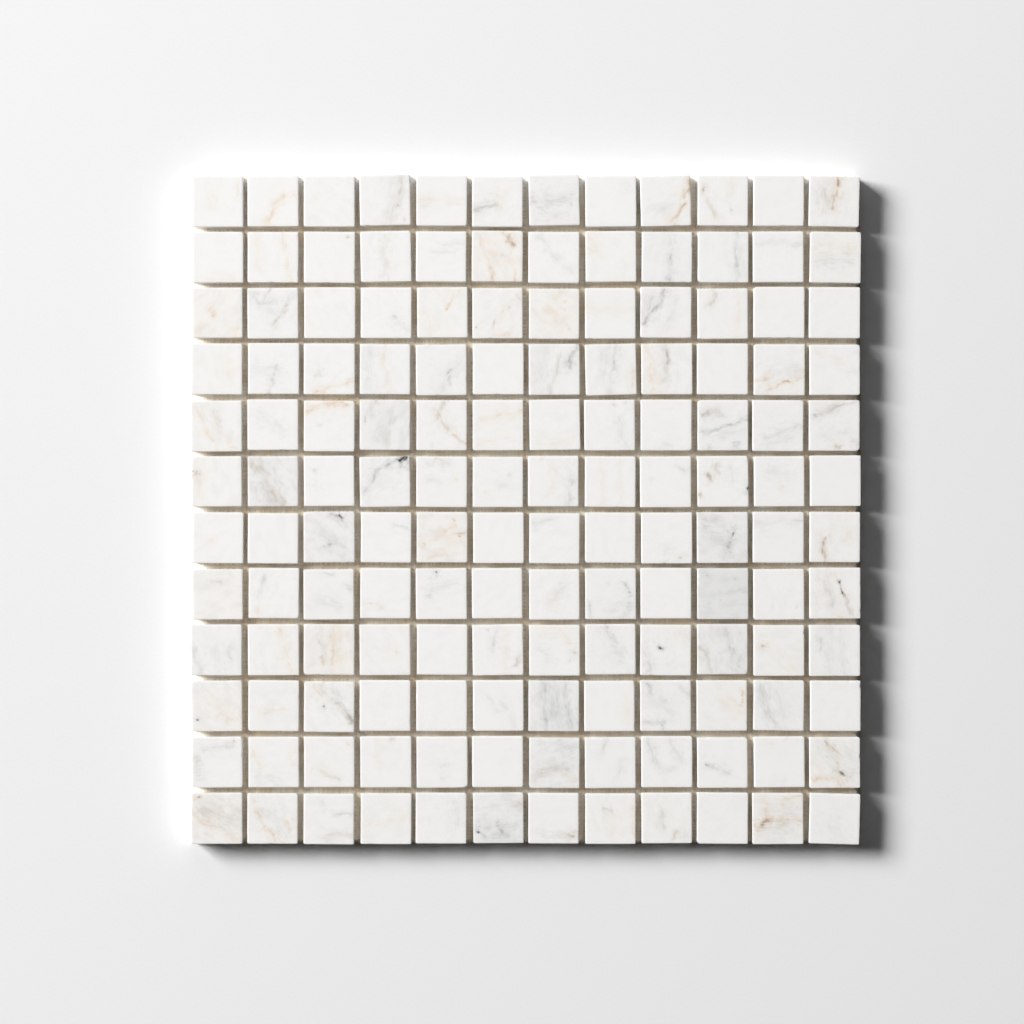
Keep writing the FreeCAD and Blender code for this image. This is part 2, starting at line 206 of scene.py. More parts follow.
# The veins and spots of each tile, drawn one by one. A line begins with the tile's row from the top and
# its column from the left, and a tile with many strokes has more than one line. A semicolon parts one
# stroke from the next. A stroke is its kind, its half width in millimetres and the points that it runs
# through, each in hundredths of the tile's side, rightward and downward from its top left corner.
# A single point is a spot.
VEINS = """
1,1: peach 1.6 38,30 38,60; tan 0.7 92,18 92,40
1,2: orange 1.2 38,92 46,75 57,55 67,44; tan 1.1 67,44 90,37
1,4: mauve 1.8 84,5 76,48 62,92; olive 0.6 83,12 77,40; smoke 3 70,20 50,90; brown 0.4 75,60
1,4: brown 0.35 90,92
1,5: peach 1.8 0,45 100,55; smoke 1.5 13,60
1,6: slate 0.9 8,66 26,58 48,54; slate 0.6 22,60 30,57; grey 1.8 6,65 30,58; tan 1.8 53,38 53,62
1,7: grey 1.8 8,48 45,58 80,48; smoke 4 30,45 72,50; grey 1 22,62 36,76; grey 0.8 82,42 84,60
1,7: smoke 3.2 25,80 75,82
1,8: smoke 1.6 83,20
1,9: orange 1.5 60,95 72,78 83,65; rust 0.8 66,86 91,59; rust 1 86,44 96,27 97,8; tan 1.4 84,38 94,30
1,9: smoke 2 30,70 60,60
1,10: brown 0.7 10,30; tan 0.9 14,36 30,65 43,88; olive 0.6 20,48 40,80; brown 0.4 65,71
1,10: peach 1.8 70,10 70,40
1,12: orange 1.6 54,2 51,35 47,60; rust 0.8 53,10 50,40; brown 0.8 49,38 46,64; mauve 2.4 33,30 40,55
2,1: peach 1.8 30,92 80,94
2,2: peach 1.6 20,0 20,70; tan 1.1 69,0 75,45 84,100
2,3: brown 0.35 86,13
2,4: smoke 2 47,12 49,88; peach 1.2 49,20 50,80
2,5: smoke 0.9 45,22 92,26; smoke 0.8 35,42 80,38
2,6: brown 0.35 72,10 82,28; orange 1.1 63,3 73,14 82,28; orange 0.9 36,70 43,99; orange 0.7 85,80 88,99
2,6: tan 1.1 14,12 36,70; grey 0.7 57,50; peach 3 20,30 70,60
2,7: smoke 1.2 20,10 60,60; smoke 1 50,40 85,80
2,8: tan 0.8 5,33 14,38; peach 1.6 12,10 25,45
2,9: grey 1.4 58,35 57,100; slate 0.8 59,46 58,56; slate 0.9 54,94; smoke 3 56,20 58,80
2,10: grey 1.3 78,2 80,25 76,60 77,97; slate 0.9 78,50 75,68; smoke 2.6 84,30 84,80
2,11: smoke 1.4 5,24 95,24; grey 0.7 79,27 92,26
2,12: peach 1.3 10,28 90,32; peach 1 15,44 80,40; smoke 2.5 20,60 80,55
3,1: rust 0.4 36,54; tan 1.8 36,50 42,60; peach 1.8 14,95 30,72; tan 0.8 87,80 87,95
3,2: grey 1.5 5,10 22,28 46,26; grey 0.9 44,2 32,24; olive 1 80,34 68,52 50,75; smoke 1.4 95,10 78,32
3,2: smoke 3 20,25 60,50
3,4: slate 0.6 62,56 68,57; smoke 1.6 63,55 92,85
3,5: orange 0.6 83,8; orange 0.7 76,16 62,42; rust 0.4 60,45; peach 2 20,50 30,85
3,6: brown 0.5 40,66 41,78; tan 0.9 44,66 58,50 92,14; brown 0.45 77,41; olive 0.7 88,12 94,22
3,6: tan 1.6 48,92 64,92; brown 0.4 5,78
3,7: orange 0.6 68,23; tan 1 52,18 66,8; orange 0.6 70,38; tan 0.8 64,56 66,66; orange 0.6 83,82
3,7: peach 3.2 40,40 75,70
3,8: peach 2 5,40 95,42
3,9: slate 1 50,6 40,22; slate 0.6 42,20 34,33; slate 1 34,33 20,50 10,70; grey 2.4 24,22 10,55
3,9: smoke 1.6 70,20 50,80
3,10: olive 0.8 34,10 22,34; peach 1.2 80,5 80,95
3,11: tan 0.7 16,22
4,1: peach 1.6 70,40 75,70
4,2: grey 1 17,38; grey 0.9 58,42 44,74; olive 0.8 44,74 40,96; smoke 2.4 20,50 55,55
4,3: olive 1.3 26,54; orange 0.9 22,97 52,86 96,76; tan 1.2 30,92 70,82
4,4: tan 1 48,0 48,44; peach 1.6 54,60 58,96; smoke 2.4 16,15 18,85
4,5: slate 0.7 70,50 66,58; slate 0.9 66,64 62,74; smoke 2.2 88,28 45,92; orange 0.5 27,2
4,7: slate 1 95,4 84,26 76,44; slate 0.5 88,14 82,22; mauve 1.2 63,25 50,65 40,95; smoke 4 30,5 15,95
4,8: grey 1.2 61,2 56,25 53,45; slate 0.9 56,34 54,48; smoke 1.6 53,50 48,95; tan 1 93,40 91,100
4,8: smoke 2.4 40,10 38,60
4,9: tan 1 12,0 18,36 24,96; orange 0.8 18,36 22,60; slate 0.9 50,12 49,42; mauve 1.4 48,2 48,75
4,9: peach 2.4 20,30 35,80
4,11: orange 0.9 6,70 30,67; orange 1 32,92 46,80 78,70; rust 0.5 56,74 70,71; tan 1 78,70 100,60
4,11: smoke 2.2 40,58 95,48
4,12: peach 1.2 10,14 67,40; smoke 1 90,15; smoke 1 90,52
5,1: tan 1.4 12,12 26,45 40,72 52,94; peach 1.6 12,12 24,40; peach 1.2 43,24 60,58 78,88
5,1: smoke 1.4 43,24 60,58; orange 0.6 76,88 92,94
5,2: grey 0.7 40,42; smoke 2.4 20,30 70,60
5,3: orange 1.4 3,22 23,13 50,7 80,4; tan 1.6 5,14 40,6; tan 1 50,40; olive 0.7 32,49
5,4: brown 0.9 35,3; mauve 0.8 31,8 20,24 8,46; brown 0.4 12,38 8,48; smoke 1.6 53,45 72,40; peach 1.2 53,80
5,4: smoke 2.2 55,25 40,80
5,5: olive 0.8 56,8 42,20 43,38; tan 1.2 42,24 52,52 62,60; olive 1 50,46 64,60; orange 0.6 74,70 82,78
5,5: brown 0.6 84,78 94,86; smoke 1.6 30,88
5,6: tan 0.9 16,38 53,27 97,23; peach 1.4 16,44 90,30; peach 1.1 10,90 33,85 66,74
5,7: peach 2 20,85 80,88
5,8: slate 0.5 57,12; grey 0.7 83,9; smoke 1.6 66,40 84,88; grey 0.9 84,84
5,9: smoke 1.6 48,88 60,92
5,10: slate 0.8 8,29 22,27; olive 1.2 12,27 42,24; slate 0.9 13,63 50,53 100,38; slate 0.9 72,90 78,88
5,10: slate 0.7 22,96; smoke 2.4 30,75 80,65
5,11: grey 1.3 23,74 56,64 92,54; smoke 2.2 30,84 80,68
5,12: slate 0.9 12,32 34,20 58,10; slate 0.6 56,12 92,1; olive 1.4 20,22 60,6; brown 0.8 54,91 60,94
5,12: mauve 1.2 90,84 98,92; smoke 2.2 30,70 80,60
6,1: brown 0.8 9,33; brown 0.5 2,30; mauve 1.2 14,36; peach 2.6 8,20 12,80
6,2: olive 1.6 14,8 34,50 66,96; smoke 4 18,14 38,50 52,90; grey 1.8 28,50 44,90; tan 0.7 60,70 74,94
6,3: grey 0.9 22,30; smoke 1.6 20,60
6,4: black 1.1 92,5 84,11; black 0.8 80,10 84,12; slate 1.1 70,12 48,18 34,32; slate 0.9 34,32 26,48
6,4: grey 1.5 26,48 10,70; smoke 3.4 60,20 24,52
6,5: olive 0.8 40,8 64,14; smoke 1.4 28,14 58,20; tan 0.9 76,44; smoke 1.4 20,45 45,50
6,6: grey 0.8 72,37; smoke 1.6 56,54 70,58; grey 0.6 62,56; tan 0.9 25,72
6,7: orange 0.5 27,8; grey 1.4 90,50 84,74 78,96; smoke 2.4 86,30 76,90; peach 1.6 50,20 46,70
6,8: peach 1 35,10 35,90; peach 0.9 70,10 72,90
6,9: grey 0.9 74,20 86,28; smoke 1.2 86,28 98,24; grey 0.6 20,47
6,10: brown 0.8 24,32 25,46; olive 0.9 30,22 42,38; olive 0.9 40,22 36,30; smoke 1.2 66,20 64,48
6,10: speck 0.45 97,63; grey 1 94,56 95,72; brown 0.6 7,76
6,11: tan 0.8 53,60; smoke 2 30,30 60,35
7,1: peach 1.6 36,58
7,3: slate 1.2 56,4 76,14; black 0.5 70,9 75,14; slate 1 40,66 56,64; grey 1.2 52,58 84,72
7,3: smoke 3 30,45 75,78
7,4: grey 0.7 68,27 94,28
7,5: rust 0.5 72,20; orange 0.9 56,38 74,28; orange 0.7 76,44 94,38; rust 0.5 82,47; orange 0.7 18,65
7,5: tan 1.4 24,90 58,84; peach 3.2 40,50 75,50
7,7: mauve 1 8,22 42,11; brown 0.4 38,12
7,9: tan 1.1 88,84; brown 0.7 72,90; grey 1 48,97; smoke 1.6 50,75
7,10: slate 1.1 73,34 66,54; black 0.4 72,38 70,46; slate 1.4 62,62 56,76; smoke 4 20,40 80,60
7,10: grey 1.6 20,16 34,18; grey 1 15,28 22,30; smoke 3.2 30,50 65,80
7,11: smoke 1.4 8,26 55,20 95,20; grey 0.6 82,20 94,22
7,12: brown 0.8 31,52 28,72 30,96; orange 1.2 29,60 28,92; tan 1.3 82,34 78,56
8,1: grey 0.7 44,26 60,24; smoke 1.6 30,26 70,22
8,2: grey 1 28,20 22,44; tan 0.8 20,88
8,3: grey 0.7 44,8 56,10; grey 0.9 88,34 97,36; smoke 2.2 30,60 70,70
8,4: tan 0.8 8,74 46,73; brown 0.35 20,73; brown 0.35 40,74
8,5: speck 0.45 40,12; grey 0.9 36,11 46,14; smoke 1.6 30,42 70,28; olive 0.9 26,55
8,7: smoke 1.8 40,62 64,46 68,28; peach 1.4 50,50 56,66
8,8: slate 0.8 79,34 88,52; slate 0.5 84,40; grey 0.6 46,28; grey 1.6 88,70 78,95; smoke 3 50,80 90,80
8,8: grey 0.7 6,68 12,96
8,10: smoke 0.9 62,44 100,46; grey 0.5 72,20; grey 0.4 20,14; grey 0.4 26,68; grey 0.4 48,65
8,11: grey 0.4 40,70; grey 0.5 88,72
8,12: tan 0.9 46,8 58,28; black 0.36 60,27 61,30; black 0.26 64,42 66,50; slate 0.5 61,32 68,52 74,70
8,12: brown 0.6 66,46 70,58; olive 0.9 74,70 80,90; tan 1 56,88 68,98; mauve 2.2 30,30 45,75
9,1: grey 1.1 76,44 80,66; grey 1.2 6,52 20,92; smoke 2.4 40,50 60,80
9,2: tan 1.3 64,12 72,40 78,66 87,92; peach 1.8 60,20 75,80
9,3: tan 1.3 56,0 60,92; mauve 1.3 26,22 36,45 43,75; tan 0.9 38,62 40,78; peach 2.6 70,10 72,90
9,4: tan 0.9 70,52
9,6: slate 0.5 30,10; grey 0.8 43,16 40,38; smoke 1.6 44,8 40,50; peach 1.2 66,10 66,90
9,6: olive 0.9 90,60 86,78
9,7: tan 1.2 74,22 84,32; peach 2.4 30,10 74,18; olive 0.8 88,54; olive 0.6 82,66; smoke 1.8 26,50 40,70
9,8: slate 0.6 45,11; grey 1.4 40,12 50,24 64,38; grey 0.8 52,42 60,46; smoke 3.2 45,20 70,65
9,9: speck 0.36 39,43; grey 1.3 10,52 22,92; smoke 2 60,80; peach 2.4 75,15 90,25
9,10: olive 0.8 6,46 15,62 25,92; grey 1 56,12 64,50; slate 1.2 64,48 70,56; grey 1.2 86,60 74,86
9,10: slate 0.6 78,82; smoke 3.4 60,20 80,75
9,11: tan 1.2 16,42 26,44; brown 0.5 20,44; peach 2.6 70,75 90,85
9,12: grey 1.3 22,28 20,46; smoke 2.4 36,5 44,90; smoke 2 60,10 66,90; peach 1.2 12,85
10,1: black 0.3 9,79; tan 1.3 72,78 98,75; peach 2.6 40,30 60,60
10,2: mauve 0.9 36,62 46,60; peach 0.9 20,60 80,58
10,3: mauve 1.8 36,10 52,34; grey 1.2 44,20 66,42; slate 1 62,42 82,56 96,80; black 0.26 41,50
10,3: tan 1.4 16,10 32,24; peach 1.4 66,45 96,82; smoke 3 60,18 72,34
10,6: smoke 1 20,20 50,60; smoke 1.2 55,40 82,90
10,7: grey 1.7 30,8 33,60 36,96; grey 1.5 72,8 76,50 84,88; slate 1 33,74 38,96; grey 3 48,20 58,80
10,8: peach 1.4 86,30 88,95
10,9: slate 1 17,6 22,24; grey 0.9 10,84 46,80; slate 0.6 44,84 48,98; grey 1.4 78,14 88,26
10,9: smoke 2.4 20,30 60,60; olive 0.8 52,40
10,10: orange 0.8 93,20 92,30; orange 1 92,38 90,48; tan 0.9 72,37; peach 2.8 60,40 85,60
10,11: grey 2.2 14,14 26,58 46,94; grey 1.4 24,56 44,86; smoke 3 36,20 60,70
11,1: slate 0.5 85,10; grey 1.2 24,24 80,18; mauve 1.6 10,40 12,80
11,2: tan 1 14,32 24,60; peach 1.4 85,30 85,60; smoke 2 20,80 60,88
11,3: orange 0.7 21,66; mauve 0.7 36,72 70,86; tan 0.7 96,16 86,12; peach 1.8 30,60 60,84
11,4: peach 1.4 38,18 38,50; olive 0.7 60,4; tan 0.7 33,42
11,5: smoke 1 46,56 60,54; smoke 1 52,80
11,7: mauve 1.2 10,84 34,62 58,54 76,64; tan 1 12,80 34,64; smoke 2.6 60,16 88,40; peach 1.6 60,60 88,86
11,8: olive 0.9 44,8 35,24; smoke 1.4 74,50 60,92
11,9: grey 1.2 16,14 30,56; grey 1.3 58,10 76,50; smoke 1.8 30,60 60,66
11,10: slate 0.9 16,50 34,56; grey 1.1 34,56 62,70
11,11: tan 0.9 34,20; grey 0.5 66,4; smoke 1.2 60,88
11,12: brown 1 37,6 48,28; orange 1 52,34 56,58; brown 1.3 56,66 70,82; black 0.5 59,69 66,78
11,12: orange 1.1 8,82 50,79; tan 1.1 50,79 64,92; smoke 2.6 75,30 85,70; mauve 1 88,60; smoke 4 35,25 75,70
12,1: rust 0.6 12,5; tan 1.8 8,48 40,60; peach 1.6 25,60 90,92; smoke 2.4 75,25 90,30; mauve 4 25,38 80,45
12,2: tan 1.2 12,20 22,38; tan 1.1 22,38 33,65 47,80 64,94; brown 0.6 33,65; brown 0.5 53,84
12,2: tan 1.2 82,60 84,72; smoke 4 30,30 75,70
12,3: mauve 1 40,20; grey 0.9 60,42 94,36; smoke 1.6 50,84 100,77; peach 1.6 40,84 90,80
12,4: peach 1.6 12,68 50,57 96,35; tan 1 30,62 44,58
12,5: smoke 2.4 80,20 85,60
12,6: slate 1.1 50,62 58,76; speck 0.36 9,82; slate 0.7 12,84 22,90; grey 1.6 40,84 62,82
12,6: grey 2.2 15,72 70,66; olive 1.2 78,20 92,24
12,7: brown 0.8 72,87 84,85; mauve 1.3 52,84 96,84; smoke 2 30,85
12,8: grey 0.6 36,34 48,38; peach 2.2 50,50; tan 1 97,30 97,80
12,9: mauve 1.4 38,36 42,66; olive 0.8 68,74 64,92; smoke 2 85,85
12,11: rust 1.2 24,55 42,53; orange 1.2 42,53 97,55; rust 1.2 12,66 24,62; tan 2 22,14 28,46
12,11: tan 1.7 54,18 92,5; orange 0.7 76,9 94,3; mauve 2.8 20,66 60,62; smoke 3.6 50,35 85,42
12,12: smoke 2.4 40,60 60,80
"""

# A tile's ground: greyness, warmth and mottling, from 0 to 1. A tile that isn't listed below is plain.
GROUNDS = {
    "plain": (0.02, 0.08, 0.16),
    "grey": (1.0, 0.0, 0.6),
    "mottled": (0.35, 0.05, 0.8),
    "peach": (0.0, 0.7, 0.5),
    "warm": (0.0, 0.35, 0.3),
    "cool": (0.12, 0.0, 0.2),
}
GROUND_TILES = {
    "grey": "8,10",
    "mottled": "5,4 6,2 7,3 7,10 9,10 10,7 11,7 12,6",
    "peach": "2,6 3,1 3,7 7,5 8,1 9,3 10,1 12,1",
    "warm": (
        "1,3 1,12 2,8 2,12 3,3 3,5 3,6 4,1 4,9 4,11 5,1 5,6 6,1 7,12 8,2 8,12 9,2 9,4 9,11 10,2 10,3 "
        "10,10 11,12 12,2 12,4 12,8 12,9 12,11"
    ),
    "cool": (
        "1,7 2,9 2,10 3,2 3,9 4,2 4,4 4,5 4,7 5,10 5,11 5,12 6,4 7,11 8,3 8,8 9,1 9,8 9,12 10,9 "
        "10,11 11,1 11,8 12,3"
    ),
}
# the most that chance adds to each
GROUND_CHANCE = (0.1, 0.12, 0.15)

# How many pieces of stroke one tile can hold, warm and grey each. It is a limit of the material.
STROKES_OF_A_KIND = 7

# A spot is a stroke that hardly runs.
SPOT_RUN_MM = 0.02

# How far the strokes are pulled about, in wide bends and in fine fraying. Strokes that fade faster
# than FULL_FRAY_SHARPNESS to each side, per millimetre, are too thin to fray in full.
BEND_MM = 3.5
FRAY_MM = 1.5
FULL_FRAY_SHARPNESS = 0.8

# what the marble's grey and warm clouds come to, beside strokes of the same strength
WISP_SHARE = 0.15
VEIL_LEVEL = 0.1
GREY_GROUND_LEVEL = 0.13
WARM_GROUND_LEVEL = 0.13

# colours of the stone: bare, and tinted by more and more warmth or grey
STONE_WHITE = (0.915, 0.909, 0.897)
WARM_TINTS = [
    (0.0, (1.0, 1.0, 1.0)),
    (0.3, (0.965, 0.9, 0.83)),
    (0.6, (0.87, 0.75, 0.64)),
    (1.0, (0.62, 0.46, 0.37)),
]
GREY_TINTS = [
    (0.0, (1.0, 1.0, 1.0)),
    (0.3, (0.735, 0.739, 0.746)),
    (0.6, (0.4, 0.4, 0.405)),
    (1.0, (0.1, 0.09, 0.075)),
]

# colours of the glue and the net. The glue's keep its khaki hue but are much paler than the glue itself, as
# painted light that stands in for the light its deep joints get
SMEARED_GLUE = (0.66, 0.565, 0.42, 1.0)
DARK_GLUE = (0.86, 0.72, 0.54, 1.0)
PALE_GLUE = (0.98, 0.89, 0.74, 1.0)
# painted light: the near-white that the glue's left and top edges, which face the lamp, are lightened towards
LIT_EDGE_PAINT = (0.98, 0.96, 0.91, 1.0)
GLUE_GRAIN_TINTS = [(0.0, (0.85, 0.83, 0.8)), (1.0, (1.0, 1.0, 1.0))]
BARE_FIBRE = (0.78, 0.76, 0.68, 1.0)
SOAKED_FIBRE = (0.62, 0.56, 0.4, 1.0)
WHITE = (1.0, 1.0, 1.0, 1.0)


def read_tiles(node_name):
    """Where the CAD puts a row's tiles: for each its middle, in metres, side, height and turn."""
    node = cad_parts[node_name]
    found = [set() for _ in range(TILES_ACROSS)]
    for vertex in node.data.vertices:
        place = node.matrix_world @ vertex.co
        column = int((place.x - cad_low.x) / (PITCH_MM * MM))
        found[column].add((round(place.x, 6), round(place.y, 6), round(place.z, 6)))
    tiles = []
    for corners in found:
        middle_x = sum(x for x, y, z in corners) / len(corners)
        middle_y = sum(y for x, y, z in corners) / len(corners)
        # A square repeats four times in a turn, so the fourth powers of its corners all point one way.
        fourfold = sum(complex(x - middle_x, y - middle_y) ** 4 for x, y, z in corners)
        turn = math.atan2(-fourfold.imag, -fourfold.real) / 4
        flat = [
            (x - middle_x) * math.cos(turn) + (y - middle_y) * math.sin(turn)
            for x, y, z in corners
        ]
        low = min(z for x, y, z in corners)
        high = max(z for x, y, z in corners)
        tiles.append({
            "middle": Vector((middle_x, middle_y, low)),
            "side_mm": (max(flat) - min(flat)) / MM,
            "turn": turn,
            "height_mm": (high - low) / MM,
        })
    return tiles


def tile_outline(side_mm, hand):
    """Points round a tile's plan, each with the way out from the stone and the corner's radius there.

    A side has no radius of its own, so there it is endless."""
    half = side_mm / 2
    outline = []
    radii = [hand.uniform(*CORNER_RADIUS_MM) for _ in range(4)]
    if hand.random() < WORN_CORNER_CHANCE:
        radii[hand.randrange(4)] = hand.uniform(*WORN_CORNER_RADIUS_MM)
    for corner, radius in enumerate(radii):
        heading = corner * math.pi / 2
        out = Vector((math.cos(heading), math.sin(heading)))
        along = Vector((-out.y, out.x))
        start = -half + radii[corner - 1]
        end = half - radius
        for step in range(POINTS_A_SIDE):
            share = (step + 0.5) / POINTS_A_SIDE
            outline.append((out * half + along * (start + (end - start) * share), out, math.inf))
        centre = out * (half - radius) + along * (half - radius)
        for step in range(STEPS_ROUND_A_CORNER + 1):
            angle = heading + step / STEPS_ROUND_A_CORNER * math.pi / 2
            way = Vector((math.cos(angle), math.sin(angle)))
            outline.append((centre + way * radius, way, radius))
    return outline


def edge_wear(outline, hand):
    """How much more than the common arris is gone at each point of the outline: wander and chips."""
    shift = hand.uniform(*NOISE_SHIFT)
    chips = []
    for _ in range(hand.choice(CHIPS_ON_A_TILE)):
        place = outline[hand.randrange(len(outline))][0]
        chips.append((place, hand.uniform(*CHIP_REACH_MM), hand.uniform(*CHIP_DEPTH_MM)))
    wear = []
    for place, _, radius in outline:
        wander = noise.noise(Vector((place.x * WEAR_PER_MM, place.y * WEAR_PER_MM, shift)))
        gone = WEAR_MM * max(0.0, wander + WEAR_EVERYWHERE)
        for chip, reach, depth in chips:
            gap = (place - chip).length / reach
            if gap < 1:
                gone += depth * (1 - gap * gap)
        wear.append(min(gone, MOST_OF_A_CORNER * radius - ARRIS_RADIUS_MM))
    return wear


def tile_rings(side_mm, height_mm, hand):
    """The rings of points that make a tile, from its face down to its underside, in millimetres."""
    outline = tile_outline(side_mm, hand)
    wear = edge_wear(outline, hand)
    shift = hand.uniform(*NOISE_SHIFT)

    def bow(place, height):
        """The saw's wander down a side, always into the stone."""
        across = (place.x * SAW_ALONG_PER_MM, place.y * SAW_ALONG_PER_MM)
        wander = noise.noise(Vector((*across, height * SAW_DOWN_PER_MM + shift)))
        return SAW_WANDER_MM * (1 + SAW_WANDER_SHARE * wander)

    half = side_mm / 2
    shrink = (half - FACE_MARGIN_MM) / half
    rings = [[(place.x * shrink, place.y * shrink, height_mm) for place, _, _ in outline]]
    for step in range(STEPS_OVER_AN_ARRIS + 1):
        angle = step / STEPS_OVER_AN_ARRIS * math.pi / 2
        ring = []
        for (place, out, _), gone in zip(outline, wear):
            round_off = ARRIS_RADIUS_MM + gone
            inset = round_off * (1 - math.sin(angle)) + bow(place, height_mm)
            drop = round_off * (1 - math.cos(angle)) * (1 + CHIP_DROP_PER_MM * gone)
            ring.append((place.x - out.x * inset, place.y - out.y * inset, height_mm - drop))
        rings.append(ring)
    for share in SIDE_RINGS:
        height = height_mm * share
        foot = FOOT_INSET_MM if share == 0 else 0.0
        ring = []
        for place, out, _ in outline:
            inset = bow(place, height) + foot
            ring.append((place.x - out.x * inset, place.y - out.y * inset, height))
        rings.append(ring)
    return rings


def tile_faces(ring_count, count):
    """A tile's faces, as the part of the map that each lies on and its (ring, place round it) corners."""
    last = ring_count - 1
    found = [("face", [(0, place) for place in range(count)])]
    for ring in range(last):
        part = "face" if ring <= STEPS_OVER_AN_ARRIS else "side"
        for place in range(count):
            found.append((part, [(ring, place), (ring + 1, place), (ring + 1, place + 1), (ring, place + 1)]))
    found.append(("underside", [(last, place) for place in reversed(range(count))]))
    return found


def strokes_of(row, column):
    """A tile's strokes: for each its kind, its half width in millimetres and its points."""
    strokes = []
    for line in VEINS.split("\n"):
        tile, _, drawn = line.partition(": ")
        if tile == f"{row},{column}":
            for stroke in drawn.split("; "):
                kind, width, *points = stroke.split()
                places = [tuple(float(share) for share in point.split(",")) for point in points]
                strokes.append((kind, float(width), places))
    return strokes


def stroke_slots(row, column, side_mm):
    """A tile's warm and grey pieces of stroke, as the pairs of vectors that the marble reads:
    where it starts with how fast it fades beside it, and how it runs with how strong it is."""
    warm = []
    grey = []
    for kind, width, points in strokes_of(row, column):
        warmth, greyness = KINDS[kind]
        placed = [((right - 50) / 100 * side_mm, (50 - down) / 100 * side_mm) for right, down in points]
        for here, there in zip(placed, placed[1:] or placed):
            start = (*here, 1 / width)
            run = (there[0] - here[0] + SPOT_RUN_MM, there[1] - here[1])
            if warmth:
                warm.append((start, (*run, warmth)))
            if greyness:
                grey.append((start, (*run, greyness)))
    for slots in (warm, grey):
        if len(slots) > STROKES_OF_A_KIND:
            raise ValueError(f"tile {row}, {column} has {len(slots)} strokes of a kind")
        while len(slots) < STROKES_OF_A_KIND:
            slots.append(((0.0, 0.0, 1.0), (SPOT_RUN_MM, 0.0, 0.0)))
    return warm, grey


def grain_heading(row, column, hand):
    """The way that a tile's stone grew, as an angle: along its longest stroke, or else any way."""
    heading = hand.uniform(0, math.pi)
    longest = 0.0
    for _, _, points in strokes_of(row, column):
        right = points[-1][0] - points[0][0]
        down = points[-1][1] - points[0][1]
        if math.hypot(right, down) > longest:
            longest = math.hypot(right, down)
            heading = math.atan2(-down, right)
    return heading


def ground_of(row, column, hand):
    """Greyness, warmth and mottling of a tile's ground, with a little chance in each."""
    kind = "plain"
    for name, tiles in GROUND_TILES.items():
        if f"{row},{column}" in tiles.split():
            kind = name
    return tuple(level + hand.uniform(0.0, most) for level, most in zip(GROUNDS[kind], GROUND_CHANCE))


def bake_place(part, ring, ring_count, share_round, point, side_mm, column):
    """A point's place on the map that its finish is baked to."""
    cell_x = ((column - 1) % MAP_CELLS_ACROSS) / MAP_CELLS_ACROSS
    cell_y = ((column - 1) // MAP_CELLS_ACROSS) / MAP_CELLS_DOWN
    if part == "side":
        top_rings = STEPS_OVER_AN_ARRIS + 2
        fall = (ring - top_rings + 1) / (ring_count - top_rings)
        return (
            cell_x + MAP_SIDES_LEFT + MAP_SIDES_LENGTH * share_round,
            cell_y + MAP_SIDES_TOP - MAP_SIDES_HEIGHT * fall,
        )
    size = MAP_UNDERSIDE
    middle = MAP_UNDERSIDE_MIDDLE
    if part == "face":
        # the rings over the arris spread a little, because from above they lie close together
        size = MAP_FACE * (1 + MAP_ARRIS_STEP * max(0, ring - 1))
        middle = MAP_FACE_MIDDLE
    return (
        cell_x + 0.5 / MAP_CELLS_ACROSS + point[0] / side_mm * size,
        cell_y + middle + point[1] / side_mm * size,
    )


def tile_values(row, column, side_mm, hand):
    """The vectors that are the same all over a tile: its seed, its ground and its strokes."""
    values = {
        "stone_seed": tuple(hand.uniform(*SEED_SHIFT) for _ in range(3)),
        "stone_ground": ground_of(row, column, hand),
    }
    for family, slots in zip(("warm", "grey"), stroke_slots(row, column, side_mm)):
        for number, (start, run) in enumerate(slots):
            values[f"{family}_start_{number}"] = start
            values[f"{family}_run_{number}"] = run
    return values


def make_row(row, hand):
    """One row of marble tiles, built where the CAD has them. Each point carries what the marble reads."""
    points = []
    faces = []
    map_places = []
    values = {}
    for column, tile in enumerate(read_tiles(f"tile_row_{row:02d}"), start=1):
        side_mm = tile["side_mm"]
        rings = tile_rings(side_mm, tile["height_mm"], hand)
        heading = grain_heading(row, column, hand)
        grain_x, grain_y = math.cos(heading), math.sin(heading)
        same_all_over = tile_values(row, column, side_mm, hand)
        first = len(points)
        count = len(rings[0])
        cosine = math.cos(tile["turn"])
        sine = math.sin(tile["turn"])
        for x, y, z in [point for ring in rings for point in ring]:
            points.append((
                tile["middle"].x + (x * cosine - y * sine) * MM,
                tile["middle"].y + (x * sine + y * cosine) * MM,
                tile["middle"].z + z * MM,
            ))
            here = {
                "stone_place": (x, y, z),
                "stone_grain": (x * grain_x + y * grain_y, y * grain_x - x * grain_y, z),
                **same_all_over,
            }
            for name, value in here.items():
                values.setdefault(name, []).append(value)
        for part, corners in tile_faces(len(rings), count):
            faces.append([first + ring * count + place % count for ring, place in corners])
            for ring, place in corners:
                point = rings[ring][place % count]
                share_round = place / count
                map_places.append(bake_place(part, ring, len(rings), share_round, point, side_mm, column))

    mesh = bpy.data.meshes.new(f"marble_row_{row:02d}")
    mesh.from_pydata(points, [], faces)
    for name, vectors in values.items():
        attribute = mesh.attributes.new(name, "FLOAT_VECTOR", "POINT")
        attribute.data.foreach_set("vector", [number for vector in vectors for number in vector])
    layer = mesh.uv_layers.new(name="OFBake")
    layer.data.foreach_set("uv", [number for place in map_places for number in place])
    mesh.shade_smooth()
    piece = bpy.data.objects.new(f"marble_row_{row:02d}", mesh)
    bpy.context.scene.collection.objects.link(piece)
    return piece


